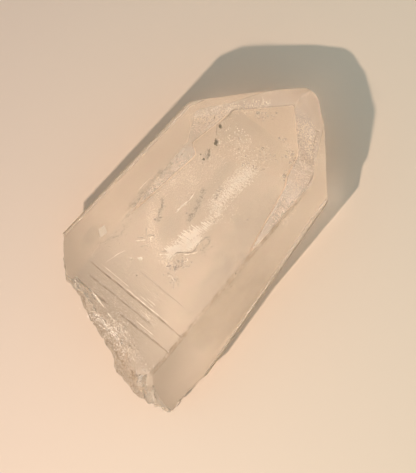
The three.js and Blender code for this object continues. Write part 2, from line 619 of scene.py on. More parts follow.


# its roughness, dirt and painted shade, painted warmth and crackle follow attributes of the mesh
def makeQuartz():
    look = quartzLook
    material, nodes = newMaterial("clearQuartz")
    shader = nodes["Principled BSDF"]
    setInputs(shader, {"Transmission Weight": look["clearness"], "IOR": look["ior"]})
    frost, dirtAndShade, warmSlopes, coarse = (
        addNode(nodes, "Attribute", attribute_name=name) for name in ("frost", "dirtAndShade", "warmSlopes", "coarse")
    )
    where = addNode(nodes, "TexCoord")

    tint = addNode(nodes, "Mix", {"A": look["colour"], "B": look["dirtAndShadeColour"]}, data_type="RGBA")
    warmed = addNode(nodes, "Mix", {"B": look["slopeWarmColour"]}, data_type="RGBA")
    wire(
        (dirtAndShade, "Fac", tint, "Factor"),
        (warmSlopes, "Fac", warmed, "Factor"),
        (tint, "Result", warmed, "A"),
        (warmed, "Result", shader, "Base Color"),
    )

    cloud = addNode(nodes, "TexNoise", {"Scale": 1 / (look["satinSize"] * mm), "Detail": 4})
    rough = addNode(nodes, "Math", {1: look["satin"]}, operation="MULTIPLY_ADD")
    wire(
        (where, "Object", cloud, "Vector"),
        (cloud, "Fac", rough, 0),
        (frost, "Fac", rough, 2),
        (rough, 0, shader, "Roughness"),
    )

    stretch = addNode(nodes, "Mapping", {"Scale": [per / mm for per in look["grainStretch"]]})
    streaks = addNode(nodes, "TexNoise", {"Scale": 1, "Detail": 3})
    bump = addNode(nodes, "Bump", {"Strength": look["grainStrength"], "Distance": look["grain"] * mm})
    wire(
        (where, "Object", stretch, "Vector"),
        (stretch, "Vector", streaks, "Vector"),
        (streaks, "Fac", bump, "Height"),
    )

    crackleSize, crackleHeight = look["crackle"]
    crackle = addNode(nodes, "TexNoise", {"Scale": 1 / (crackleSize * mm), "Detail": 2})
    rugged = addNode(nodes, "Bump", {"Distance": crackleHeight * mm})
    wire(
        (where, "Object", crackle, "Vector"),
        (crackle, "Fac", rugged, "Height"),
        (coarse, "Fac", rugged, "Strength"),
        (bump, "Normal", rugged, "Normal"),
        (rugged, "Normal", shader, "Normal"),
    )
    return material


crystal = addMesh("crystal", skin, skinFaces, makeQuartz())

# fine relief, all in mm
relief = {
    "waves": [(0.035, 9), (0.014, 3.2)],  # height and size
    # growth steps across the top face: x, y, span, depth, turn in degrees
    "steps": [
        (-17.4, 0.2, 22, 0.1, 0.2),
        (-19.2, 2.5, 15, 0.07, 1.1),
        (-21.2, 7, 8.2, 0.08, -0.7),
        (-21, -4.8, 12.4, 0.09, 1.4),
        (-13.2, -2.1, 11, 0.05, 0),
        (-24.2, -4, 3.4, 0.06, -5),
    ],
    "darkWall": 0.16,  # width of the steep side of a step, which faces the point
    "brightWall": 0.45,
    "stepWander": [(0.07, 2.3, 12), (0.03, 0.7, 13)],  # how they stray: how far, size, seed
    "stepEnds": 1.5,  # they run out over this length
    "stepFrost": 0.22,
    # rough patches on the top: x, y, half length, half width, height, grain, frost
    "patches": [
        (-23.6, -1.4, 1.5, 2.4, 0.06, 0.4, 0.1),
        (-26.6, -9.4, 2.4, 2.0, 0.14, 0.8, 0.08),
        (-21.8, 5.5, 0.5, 2.8, 0.06, 0.4, 0.05),
        (-18.3, -2.8, 0.6, 1.6, 0.03, 0.3, 0.0),
        (-8.8, -1.6, 1.9, 1.4, 0.03, 0.4, 0.0),
        (-16.4, 11.5, 0.7, 0.8, 0.06, 0.35, 0.05),
    ],
    # finely scored patches: x, y, half length, half width, depth
    "scored": [(-14.6, -2, 1.1, 1.5, 0.03), (-16.6, -2, 0.6, 4.5, 0.02)],
    "swelling": (29.9, -1.5, 11, 4.5, 0.5),  # beside the tip: middle, radius, height
    # worn edges, from where to where below the edge
    "waistBand": (-0.45, -0.12),
    "waistHeight": 10.5,
    "ridgeBand": (-0.24, -0.06),
    "restBand": (-0.6, -0.2),  # beside the face it rests on, which stays flat
    "ridgeDarkening": 0.75,
    "waistShade": 0.9,
    "sideShade": 0.3,  # painted shade on the upper right side, along this run of x
    "sideRun": (-19, -13, -2, 6),
    # the break is rough but at its right end and low on its right side: y, then y and z
    "calmEnd": (-14.5, -12.5),
    "calmFoot": ((0, -4), (13, 9)),
    "breakCoarse": 0.8,
    "breakFrost": 0.16,
    "ridgeFrost": 0.1,
    "waistFrost": 0.35,
    "underFrost": 0.12,  # the lower faces are etched
    "slopeFrost": 0.17,  # and more so where they slope
    "slopeEdgeShade": 0.8,  # a thin line of painted shade round them
    "sharpAngle": 38,
}


# 1 in the middle of a patch on the top face, 0 outside it
def patchMask(x, y, long, wide):
    away = np.hypot((skin[:, 0] - x) / long, (skin[:, 1] - y) / wide)
    return smooth(1.15, 0.6, away + 0.25 * hills(skin, 0.9, 31)) * topShare


mesh = crystal.data
skinNormals = np.array([normal.vector for normal in mesh.vertex_normals])
skinX, skinY, skinZ = skin.T.copy()
gaps = skin @ normals.T - distances
topFace = int(np.argmax(normals[:, 2]))
bottomFace = int(np.argmin(normals[:, 2]))
onBreak = np.zeros(len(skin))
onBreak[:breakCount] = 1
onBreak[len(skin) - 2] = 1
others = np.delete(gaps, topFace, axis=1).max(axis=1)
topShare = smooth(-0.25, 0.05, gaps[:, topFace] - others) * (1 - onBreak)
rugged = onBreak * smooth(*relief["calmEnd"], skinY)
footY, footZ = relief["calmFoot"]
rugged *= 1 - smooth(*footY, skinY) * smooth(*footZ, skinZ)

# every point has a lift, and its share of frost, dirt and painted shade, and crackle
lift = np.zeros(len(skin))
frost = np.full(len(skin), quartzLook["polish"])
dirtAndShade = np.zeros(len(skin))
coarse = relief["breakCoarse"] * rugged

for seed, (height, size) in enumerate(relief["waves"]):
    lift += height * hills(skin, size, 10 + seed)

# growth steps, darkened along their steep walls by dirt and painted shade
across = skin * (0, 1, 0)
wander = sum(far * hills(across, size, seed) for far, size, seed in relief["stepWander"])
for x, y, span, depth, turn in relief["steps"]:
    beyond = skinX - x + (skinY - y) * math.tan(math.radians(turn)) + wander
    wall = beyond / relief["darkWall"]
    cut = np.clip(np.minimum(1 + wall, 1 - beyond / relief["brightWall"]), 0, 1)
    ends = smooth(0, relief["stepEnds"], span / 2 - np.abs(skinY - y))
    uneven = 0.75 + 0.5 * hills(across + (x, 0, 0), 1.7, 14)
    inStep = smooth(-1.4, -0.8, wall) * smooth(0.9, 0.2, wall)
    lift -= depth * cut * ends * uneven * topShare
    frost += relief["stepFrost"] * cut * ends * topShare
    dirtAndShade = np.maximum(dirtAndShade, inStep * ends * uneven * topShare * smooth(0, 0.12, depth))

*swellingMiddle, swellingRadius, swellingHeight = relief["swelling"]
lift += swellingHeight * smooth(1, 0, np.linalg.norm(skin - swellingMiddle, axis=1) / swellingRadius)

# rough and scored patches
for x, y, long, wide, height, grain, haze in relief["patches"]:
    mask = patchMask(x, y, long, wide)
    lift += mask * height * hills(skin, grain, 15)
    frost += mask * haze
    coarse = np.maximum(coarse, mask * smooth(-0.4, 0.2, hills(skin, 0.8, 33)))
for x, y, long, wide, depth in relief["scored"]:
    lift -= patchMask(x, y, long, wide) * depth * np.abs(hills(skin * (1 / 0.35, 1 / 2.4, 0), 1, 16))

# the right ridge and the waist edges are bruised and frosted; the ridge is darkened along its bruises,
# and the waist edges and the upper right side get painted shade
nextSide = np.sort(gaps[:, ~pointFaces], axis=1)[:, -2]
onWaist = smooth(*relief["waistBand"], nextSide) * (1 - onBreak)
onWaist *= smooth(7, 5, np.abs(skinZ - relief["waistHeight"]))
isRightRidge = (skinZ > crystalSize["height"] - 2) * (skinY < 0)
onRidge = smooth(*relief["ridgeBand"], nextSide) * isRightRidge * (1 - onBreak)
bruise = np.clip(0.6 + 0.5 * hills(skin, 1.1, 50) + 0.5 * hills(skin, 0.35, 51), 0, 1)
sideStart, sideFull, sideEbb, sideEnd = relief["sideRun"]
sideShadeMask = smooth(sideStart, sideFull, skinX) * smooth(sideEnd, sideEbb, skinX)
sideShadeMask *= smooth(-0.4, -0.7, skinNormals[:, 1]) * (skinZ > halfHeight)
dirtAndShade = np.maximum(dirtAndShade, relief["ridgeDarkening"] * bruise * onRidge)
dirtAndShade = np.maximum(dirtAndShade, relief["sideShade"] * sideShadeMask)
dirtAndShade = np.maximum(dirtAndShade, relief["waistShade"] * onWaist)
frost += relief["ridgeFrost"] * bruise * onRidge + relief["waistFrost"] * onWaist

# no relief on the break, which has its own, nor on the waist edges and the face it rests on
lift *= (1 - onBreak) * (1 - smooth(*relief["restBand"], gaps[:, bottomFace])) * (1 - onWaist)
skin = skin + skinNormals * lift[:, None]
mesh.vertices.foreach_set("co", toFrame(skin).ravel())

# frost on the break, and darkening all over it, strongest in winding lines
frost += relief["breakFrost"] * rugged
contours = smooth(0.16, 0.04, np.abs(hills(skin * (1, 0.5, 1), 1.0, 60)))
dirtAndShade = np.maximum(dirtAndShade, rugged * np.clip(0.26 + 0.3 * hills(skin, 0.9, 61) + 0.6 * contours, 0, 0.9))

# the lower faces; their slopes get painted warmth
underShare = smooth(0.2, -0.2, skinNormals[:, 2]) * (1 - onBreak)
warmSlopes = underShare * smooth(-0.96, -0.9, skinNormals[:, 2])
# painted shade in a thin line where the slopes meet the face it rests on
dirtAndShade = np.maximum(dirtAndShade, relief["slopeEdgeShade"] * warmSlopes * (1 - warmSlopes))
frost += relief["underFrost"] * underShare
frost += relief["slopeFrost"] * warmSlopes

for name, values in {"frost": frost, "dirtAndShade": dirtAndShade, "warmSlopes": warmSlopes, "coarse": coarse}.items():
    mesh.attributes.new(name, "FLOAT", "POINT").data.foreach_set("value", values)
mesh.set_sharp_from_angle(angle=math.radians(relief["sharpAngle"]))
mesh.update()
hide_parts("quartz_crystal")
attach(crystal, "root")
print("crystal", len(mesh.polygons), "faces, with growth steps, chips and rough patches")


# a smooth line through a few points
def lineThrough(points, count):
    points = np.array(points, float)
    padded = np.vstack([2 * points[0] - points[1], points, 2 * points[-1] - points[-2]])
    at = np.linspace(0, len(points) - 1, count)
    k = np.minimum(at.astype(int), len(points) - 2)
    t = (at - k)[:, None]
    a, b, c, d = (padded[k + step] for step in range(4))
    bend = (2 * a - 5 * b + 4 * c - d) * t ** 2 + (3 * b - a - 3 * c + d) * t ** 3
    return 0.5 * (2 * b + (c - a) * t + bend)


# several meshes as one: each is points and faces
def joined(parts):
    points, faces, start = [], [], 0
    for theirPoints, theirFaces in parts:
        points.append(theirPoints)
        faces += [tuple(i + start for i in face) for face in theirFaces]
        start += len(theirPoints)
    return np.vstack(points), faces


# everything sealed in the crystal rides with it
def sealIn(name, parts, material, flat=False):
    piece = addMesh(name, *joined(parts), material, flat)
    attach(piece, "root")
    print(name, len(piece.data.polygons), "faces")
    return piece


# what fills the flaws: its colour drifts between two tones
def makeFill(name, look):
    material, nodes = newMaterial(name)
    shader = nodes["Principled BSDF"]
    setInputs(shader, {"Transmission Weight": look["clearness"], "IOR": look["ior"]})
    setInputs(shader, {"Roughness": look["roughness"]})
    where = addNode(nodes, "TexCoord")
    cloud = addNode(nodes, "TexNoise", {"Scale": 1 / (look["grain"] * mm), "Detail": 3})
    spread = addNode(nodes, "MapRange", {"From Min": 0.38, "From Max": 0.62})
    one, other = look["colours"]
    tone = addNode(nodes, "Mix", {"A": (*one, 1), "B": (*other, 1)}, data_type="RGBA")
    wire(
        (where, "Object", cloud, "Vector"),
        (cloud, "Fac", spread, "Value"),
        (spread, "Result", tone, "Factor"),
        (tone, "Result", shader, "Base Color"),
    )
    return material


# what they share where they say nothing else
flakeLook = {"clearness": 0, "ior": 1.1, "roughness": 0.6, "grain": 1.6}
fillLooks = {
    "milkAndGlint": {"colours": ((1, 0.96, 0.87), (1, 0.93, 0.83)), "roughness": 0.4, "grain": 1.1},
    "cream": {"colours": ((0.98, 0.9, 0.76), (0.96, 0.86, 0.75))},
    "sand": {"colours": ((1, 0.84, 0.66), (0.96, 0.86, 0.75))},
    "pale": {"colours": ((1, 0.96, 0.87), (0.98, 0.93, 0.85))},
    "shade": {"colours": ((0.36, 0.33, 0.27), (0.48, 0.43, 0.36)), "grain": 0.9},
    "bubble": {
        "colours": ((1, 0.98, 0.94), (1, 0.94, 0.9)),
        "clearness": 0.85, "ior": 1.8, "roughness": 0.04, "grain": 2,
    },
    "mineral": {
        "colours": ((0.12, 0.11, 0.07), (0.24, 0.21, 0.15)),
        "ior": 1.4, "roughness": 0.45, "grain": 0.3,
    },
}
fills = {name: makeFill(name, {**flakeLook, **look}) for name, look in fillLooks.items()}
grains = np.random.default_rng(11)  # one seeded source for all that is scattered
print(len(fills), "fills for what is sealed in")


# a slim closed splinter, 1 long each way along y
def splinterShape():
    points = [(0, -1, 0)]
    for y, radius in ((-0.6, 0.75), (0, 1), (0.6, 0.75)):
        points += [(radius, y, 0), (0, y, radius), (-radius, y, 0), (0, y, -radius)]
    points.append((0, 1, 0))
    faces = []
    for k in range(4):
        after = (k + 1) % 4
        faces.append((0, 1 + k, 1 + after))
        faces.append((1 + k, 5 + k, 5 + after, 1 + after))
        faces.append((5 + k, 9 + k, 9 + after, 5 + after))
        faces.append((13, 9 + after, 9 + k))
    return np.array(points, float), faces


threadShape = {
    "step": 0.12,
    "sides": 5,
    "flatness": 0.5,
    "thickness": (0.75, 0.9),  # as a whole, and how much it varies
    "thinnest": 0.15,  # both are shares of the thread's radius
}


# thick and thin by turns, wandering a little
def thread(line, radius, wander, seed):
    length = np.linalg.norm(np.diff(line, axis=0), axis=1).sum()
    count = max(6, round(length / threadShape["step"]))
    spine = lineThrough(line, count)
    for axis in range(3):
        small = 0.6 * hills(spine, 0.3, seed + 5 + axis)
        spine[:, axis] += wander * (hills(spine, 0.8, seed + axis) + small)
    ahead = np.gradient(spine, axis=0)
    ahead /= np.linalg.norm(ahead, axis=1)[:, None]
    side = np.cross(ahead, (0, 0, 1))
    side /= np.linalg.norm(side, axis=1)[:, None]
    over = np.cross(side, ahead)
    share = np.linspace(0, 1, count)
    taper = np.minimum(1, 7 * np.minimum(share, 1 - share) + 0.15)
    usual, varied = threadShape["thickness"]
    thick = radius * (usual + varied * hills(spine, 0.6, seed + 11)) * taper
    thick = np.maximum(thick, threadShape["thinnest"] * radius)[:, None]
    sideCount = threadShape["sides"]
    rings = []
    for k in range(sideCount):
        angle = 2 * math.pi * k / sideCount
        out = math.cos(angle) * side + threadShape["flatness"] * math.sin(angle) * over
        rings.append(spine + thick * out)
    points = np.stack(rings, axis=1).reshape(-1, 3)
    lastRing = sideCount * (count - 1)
    faces = [tuple(range(sideCount))[::-1], tuple(range(lastRing, lastRing + sideCount))]
    for start in range(0, lastRing, sideCount):
        for k in range(sideCount):
            a, b = start + k, start + (k + 1) % sideCount
            faces.append((a, b, b + sideCount, a + sideCount))
    return points, faces


# points given as x, y and depth below the crystal's upper faces
def sunk(places, depth):
    places = np.array(places, float).reshape(-1, 2)
    up = normals[:, 2] > 0.3
    heights = (distances[up] - places @ normals[up][:, :2].T) / normals[up][:, 2]
    return np.column_stack([places, heights.min(axis=1) - depth])


def threads(lines, seed):
    parts = []
    for k, (places, depth, radius, wander) in enumerate(lines):
        parts.append(thread(sunk(places, depth), radius, wander, seed + 17 * k))
    return parts


dustShape = {
    "sizes": (0.45, 1),  # smallest and largest, as shares, small ones more common
    "bend": 0.15,
    "thickness": 0.15,  # of the width
    "tilt": (0.45, 0.12),  # toward the lamp: slope, and how much it varies
    "layer": 0.01,  # how far they stray in depth
}


# tiny splinters along bands, thickest in the middle of each; they stray level, so some pass
# through a sloping face
def dusted(bands, long, wide, turn, unruly):
    shape, shapeFaces = splinterShape()
    parts = []
    for places, depth, spread, count in bands:
        line = lineThrough(sunk(places, depth), 80)
        for k in range(count):
            size = grains.uniform(*dustShape["sizes"]) ** 1.5
            bend = grains.normal(0, dustShape["bend"])
            points = shape * (wide * size, long * size, dustShape["thickness"] * wide)
            points[:, 0] += bend * points[:, 1] ** 2 / long
            angle = math.radians(turn + grains.normal(0, unruly))
            across, ahead = turned(points[:, 0], points[:, 1], angle)
            height = points[:, 2] + across * grains.normal(*dustShape["tilt"])
            at = line[grains.integers(80)]
            stray = np.clip(grains.normal(0, 1, 3), -2, 2) * (spread, spread, dustShape["layer"])
            parts.append((np.column_stack([across, ahead, height]) + (at + stray), shapeFaces))
    return parts


# each band of dust: points of a line, depth (one, or one for each point), how wide, how many
# the break that runs from the crystal's middle toward its point, with its bright glint painted as white
# flakes
veilGlintDust = [
    ([(-8.2, 0.7), (-7.2, 0.8), (-6, 0.3), (-4.9, -0.5), (-3.6, -0.9), (-2, -1.3)], 1, 0.36, 1900),
    ([(-7, 0.6), (-5.8, -0.1), (-4.8, -1), (-3.4, -1.2), (-2.4, -1.4)], 0.97, 0.3, 1100),
    ([(-6.6, 1.2), (-4.8, 0.4), (-3.2, 0.1), (-1.6, -0.3)], 1.05, 0.7, 1000),
    ([(-1.8, -0.4), (0.2, -0.8), (1.8, -0.9), (3.6, -1)], (1.05, 1.05, 1, 0.95), 0.55, 440),
    ([(3.2, 0.2), (5.4, 0.1), (7.8, 0.1), (9.6, -0.1), (11.6, -0.5)],
     (1, 0.95, 0.9, 0.85, 0.75), 0.8, 2700),
    ([(10.6, -0.3), (13.4, -0.4)], (0.8, 0.6), 0.9, 640),
    ([(12.4, 1.6), (14.4, 3), (15, 5)], (0.7, 0.5, 0.5), 1.2, 400),
    ([(2.8, -2.6), (6.8, -2.6)], (1, 0.95), 0.7, 60),
]
# creamy clouds to the left of it
cloudDust = [
    ([(-3.2, 8.5), (-5.4, 7), (-7.2, 5), (-8.4, 3.2)], (1.1, 1.1, 1.15, 1.15), 0.6, 700),
    ([(-8.9, 2.4), (-9.4, 0.8), (-9.2, -0.6)], 1, 0.5, 240),
    ([(-1.4, 9.4), (2.8, 8.6), (7, 7.2)], 1, 1.1, 700),
    ([(7.4, 4.6), (11, 5.4), (14.6, 6.2)], (1, 0.8, 0.6), 1, 260),
    ([(0.2, 5.4), (3.4, 5.2), (5.2, 6)], 1, 0.6, 200),
    ([(18.4, 9.6), (20.6, 7.2), (23.4, 4.2)], 0.4, 0.7, 420),
    ([(-11.8, 9.4), (-14.6, 6.4), (-14.4, 2)], (0.5, 0.45, 0.5), 1.3, 160),
    ([(-19.4, 8.4), (-20.2, 2), (-19.6, -5.4)], 0.6, 1.3, 340),
    ([(-23, 6.8), (-24.4, 0.4), (-25.2, -6.2)], (0.4, 0.5, 0.6), 0.9, 420),
]
# thin cloud round the ghost, toward the point and along the sides
pointDust = [
    ([(12.4, 12.4), (15, 10.8), (17.6, 9.2)], 0.5, 1, 1900),
    ([(25, -1.6), (23, -4.8), (20, -8)], 0.5, 1, 1900),
    ([(18.4, -8), (13.4, -9), (8.6, -9.8)], 0.5, 0.9, 1400),
    ([(6.6, 9.8), (2.6, 10.4), (-1.6, 10.8)], 0.5, 0.7, 900),
]
# painted glints and shade: sparkling patches at the surface, part bright flakes, part dark
sparkles = [
    ([(-24.4, 4.6), (-24.2, 2.2), (-24, 0.4)], 0.4, 0.4, 70),
    ([(-22.6, 0.6), (-23.5, -1.3), (-24.8, -3.8)], (0.4, 0.4, 0.5), 0.9, 300),
    ([(-24.4, -5.2), (-25.6, -6.8)], (0.6, 0.9), 0.6, 80),
    ([(-24.3, -9.4), (-26, -9), (-27.6, -10)], (1.2, 1.6, 2.4), 0.6, 59),
    ([(-18.1, -1.6), (-18.4, -3.2), (-18.7, -4.8)], 0.3, 0.4, 53),
    ([(-14.6, -0.9), (-14.6, -2.9)], 0.3, 0.45, 25),
    ([(-16.2, 12.4), (-16.4, 11)], (0.4, 0.3), 0.25, 17),
    ([(-8.6, -0.6), (-9.2, -1.6), (-10.6, -3)], (1.9, 1.9, 1.8), 0.45, 42),
    ([(20.9, 5.4), (21.4, 4.4), (22.4, 3.8)], 0.7, 0.5, 90),
    ([(19.6, 8.2), (20.1, 6.4)], 0.7, 0.3, 60),
    ([(20.4, -0.6), (19.6, -3.2), (19.2, -5.2)], 0.8, 0.35, 60),
    ([(18.8, -5), (17.6, -6)], 0.8, 0.4, 30),
    ([(15.6, -5.2), (14.8, -6)], 0.9, 0.3, 20),
    ([(17.4, -0.2), (15.4, -1)], 0.9, 0.5, 36),
    ([(14.6, -2.4), (12.6, -0.6)], (0.9, 1), 0.4, 24),
    ([(12.9, 7.3), (12.3, 6.6)], 0.8, 0.2, 14),
    ([(1, -1.2), (3, -1.2)], 1.8, 0.4, 28),
    ([(-8.2, 4.6), (-9.6, 5.2)], 1.4, 0.35, 21),
]
# painted glint of the break in fine bright ribs across it: from, to, how many, length, half width
glintRibRows = [
    ((-7.4, 0.9), (-4.2, -0.7), 11, 1.7, 0.16),
    ((-4.1, -0.6), (-1, -1.3), 10, 2.5, 0.17),
    ((-0.9, -1.4), (1.2, -1.4), 6, 1.8, 0.13),
    ((1.4, -1.2), (6.2, -0.8), 9, 1.1, 0.07),
    ((6.4, -0.7), (11.4, -0.8), 10, 1.4, 0.09),
]
# bright seams near the top, and painted glints along the growth steps: line, depth, radius, how far they
# wander
seamsAndGlints = [
    ([(-1.5, 4.7), (-0.5, 4.8), (0.7, 4.5), (1.8, 4.3), (3.3, 4.5)],
     (0.95, 0.95, 0.95, 0.95, 0.9), 0.16, 0.12),
    ([(-9.8, 7), (-8.5, 5.7)], 0.75, 0.13, 0.05),
    ([(-6.3, -1), (-5.4, -1.8), (-4.6, -2.4), (-4.2, -2.5)], 1, 0.13, 0.05),
    ([(-9, 2.3), (-8.2, 1.5), (-7.9, 0.9)], 1, 0.1, 0.05),
    ([(-0.3, 12), (-1.6, 12.1), (-2.8, 12.1)], 0.4, 0.12, 0.08),
    # the next eight are painted glints along the growth steps
    ([(-17.05, 2.6), (-17.1, -0.3), (-17.1, -3), (-17, -6.5)], 0.25, 0.12, 0.04),
    ([(-16.55, 0.2), (-16.55, -3)], 0.25, 0.07, 0.04),
    ([(-16.1, -1), (-16.1, -3)], 0.25, 0.07, 0.04),
    ([(-16.6, 8.6), (-16.6, 5.4), (-16.6, 2.6)], 0.25, 0.05, 0.03),
    ([(-18.4, -1.9), (-18.5, -3.8)], 0.25, 0.06, 0.04),
    ([(-20.3, -2), (-20.3, -6)], 0.25, 0.06, 0.04),
    ([(-21.2, 7.6), (-21.7, 5.3), (-22.2, 3.4)], 0.3, 0.14, 0.05),
    ([(-22.4, 2.6), (-22.8, 0.6)], 0.3, 0.09, 0.05),
    ([(-24.7, -4.2), (-25.4, -4.4)], 0.6, 0.28, 0.02),
    ([(-11.9, 4.8), (-11.3, 4)], 0.6, 0.36, 0.02),
    ([(-12.8, 5.8), (-12.4, 5.4)], 0.6, 0.2, 0.02),
    ([(12.9, 7), (12.4, 6.5)], 0.5, 0.22, 0.02),
    ([(-15.9, 8.5), (-13.5, 7.8), (-12.2, 7.3)], (0.5, 0.6, 0.6), 0.06, 0.05),
    ([(-8, 4.9), (-7.6, 5.3), (-7, 4.7)], 0.65, 0.08, 0.05),
    ([(-7.2, -1.8), (-6.6, -2.2), (-6.2, -1.7)], 0.9, 0.08, 0.05),
    ([(-10.9, -1.2), (-10.5, -1.8), (-10.8, -2.7)], 0.85, 0.07, 0.06),
]
# grey dust, mostly along the left side
darkDust = [
    ([(12.2, 9.8), (8, 10.8), (4.4, 10.8), (1.9, 11.1)], (0.45, 0.5, 0.5, 0.45), 0.3, 110),
    ([(4.4, 10.8), (1.9, 11.2), (-0.1, 11.2), (-2.6, 11.2), (-5.8, 11.2)],
     (0.5, 0.45, 0.45, 0.45, 0.45), 0.32, 420),
    ([(-5.8, 11.2), (-9.8, 9.6), (-14, 11.2)], (0.45, 0.5, 0.6), 0.4, 90),
    ([(-1, 8.2), (-1.9, 7.3), (-3.1, 7), (-3.9, 6.2), (-4.7, 6.4)], 0.9, 0.2, 150),
    ([(-1.4, 2.1), (0, 2.3), (1.6, 2.5), (2.9, 2.9), (4.8, 3.7)],
     (0.95, 0.95, 0.95, 0.95, 0.9), 0.26, 200),
    ([(4.8, 1), (6.9, 1.8)], 0.95, 0.22, 60),
    ([(-4.4, -3.2), (-1.2, -2.9)], 0.95, 0.5, 60),
    ([(8.6, 7), (10.6, 7.2)], 0.5, 0.25, 50),
]
# cracks seen dark, given the same way, and painted shade along the edge between the point's faces
darkCracksAndEdge = [
    ([(-8.7, 0.2), (-7.6, 0.3), (-6.8, 0.1), (-6, -0.6), (-5.2, -1.6), (-4.3, -2), (-3.6, -1.8),
      (-2.7, -1.8), (-1.5, -2.1), (-0.8, -2.7)], 0.95, 0.13, 0.08),
    ([(-8.5, 2.5), (-7.6, 1.6), (-7.4, 0.9)], 0.95, 0.1, 0.06),
    ([(-9.1, 7.1), (-8.3, 6.1)], 0.7, 0.1, 0.05),
    ([(-10, 5.6), (-9.3, 5.2), (-8.7, 4.7)], 0.7, 0.09, 0.06),
    ([(-6.8, 6.9), (-7.8, 6.1)], 0.7, 0.11, 0.06),
    ([(-8.4, 5.4), (-7.7, 5.9), (-7, 5.1), (-7.3, 4.5)], 0.7, 0.09, 0.06),
    ([(16.3, 8.9), (17.6, 8.7), (18.5, 8.7), (19.4, 8.5)], 0.7, 0.12, 0.1),
    ([(14.6, 8.9), (13.4, 8)], 0.7, 0.1, 0.06),
    ([(10.6, 7.2), (9.8, 6.8), (9, 6.4)], 0.45, 0.14, 0.06),
    ([(25.4, -4.6), (25.7, -5.4)], 0.5, 0.09, 0.03),
    # these two paint shade along the edge between the point's faces
    ([(16.2, -9.8), (17.8, -9.6), (19.4, -9)], 0.4, 0.1, 0.08),
    ([(19.6, -8.9), (22.4, -6.6), (25.6, -5)], 0.5, 0.06, 0.08),
    ([(-22, 11), (-22.3, 9)], 0.4, 0.07, 0.03),
    ([(-22.6, 10.8), (-22.8, 9.2)], 0.5, 0.07, 0.03),
    ([(-16, -10), (-14.7, -9.9)], 0.3, 0.08, 0.05),
    ([(-4.8, 7), (-4.6, 6.5)], 0.9, 0.18, 0.02),
    ([(-0.5, 3.3), (-0.1, 3.1)], 0.9, 0.16, 0.02),
    ([(5.3, 1.1), (5.8, 1.4)], 0.9, 0.14, 0.03),
]


ribShape = {
    "lengths": (0.6, 1.1),  # shares of a row's own
    "widths": (0.7, 1.2),
    "thickness": 0.1,  # of the width
    "crowding": 0.25,  # how far a rib strays along its row, in gaps
    "uneven": (-0.3, 0.2),  # and across it
    "depth": 0.85,
    "tilt": 0.3,
    "lean": 0.09,
}


# flat splinters side by side
def ribs(rowsOfRibs):
    shape, shapeFaces = splinterShape()
    parts = []
    for (x0, y0), (x1, y1), count, length, wide in rowsOfRibs:
        for k in range(count):
            share = (k + grains.uniform(-ribShape["crowding"], ribShape["crowding"])) / count
            half = 0.5 * length * grains.uniform(*ribShape["lengths"])
            width = wide * grains.uniform(*ribShape["widths"])
            x = x0 + (x1 - x0) * share
            y = y0 + (y1 - y0) * share + half + grains.uniform(*ribShape["uneven"])
            points = shape * (width, half, ribShape["thickness"] * width)
            points[:, 2] += ribShape["tilt"] * points[:, 0]
            points[:, 0] -= ribShape["lean"] * points[:, 1]
            parts.append((points + sunk((x, y), ribShape["depth"]), shapeFaces))
    return parts


# a thin flat pale sheet near the left ridge: painted light that stands in for a small facet there
# catching the light
facetLightTile = {
    "corners": [(-12.5, 13.2), (-13.3, 11.9), (-11.8, 11.5), (-11.2, 12.9)],
    "depth": 0.3,
    "thickness": 0.05,
}


def tile(look):
    top = sunk(look["corners"], look["depth"])
    count = len(top)
    faces = [tuple(range(count)), tuple(range(count, 2 * count))[::-1]]
    faces += [(k, k + count, (k + 1) % count + count, (k + 1) % count) for k in range(count)]
    return np.vstack([top, top - (0, 0, look["thickness"])]), faces


# what each kind of dust is made of: half length, half width, turn from straight across in degrees,
# and how unruly that is
dustGrains = {
    "breakGlint": (0.1, 0.06, 7, 30),
    "creamClouds": (0.13, 0.045, 50, 60),
    "sparkles": (0.095, 0.08, 5, 60),
    "darkSparkles": (0.15, 0.1, 5, 60),
    "darkWisps": (0.18, 0.06, 70, 40),
    "pointClouds": (0.075, 0.04, 20, 60),
}
# their dark flakes, painted shade between the glints
darkSparkles = [(*band, count // 5) for *band, count in sparkles]


def sealDust(name, bands, fill):
    sealIn(name, dusted(bands, *dustGrains[name]), fills[fill], True)


sealDust("breakGlint", veilGlintDust, "milkAndGlint")
sealDust("creamClouds", cloudDust, "cream")
sealDust("sparkles", sparkles, "milkAndGlint")
sealDust("darkSparkles", darkSparkles, "shade")
sealIn("facetLightTile", [tile(facetLightTile)], fills["pale"], True)
sealIn("breakGlintRibs", ribs(glintRibRows), fills["milkAndGlint"], True)
sealIn("seamsAndGlints", threads(seamsAndGlints, 30), fills["milkAndGlint"])
sealDust("darkWisps", darkDust, "shade")
sealIn("cracksAndEdgeShade", threads(darkCracksAndEdge, 400), fills["shade"])
sealDust("pointClouds", pointDust, "sand")


# points and faces of a round ball
def ball(steps):
    shape = bmesh.new()
    bmesh.ops.create_icosphere(shape, subdivisions=steps, radius=1)
    corners = np.array([v.co for v in shape.verts])
    faces = [tuple(v.index for v in f.verts) for f in shape.faces]
    shape.free()
    return corners, faces


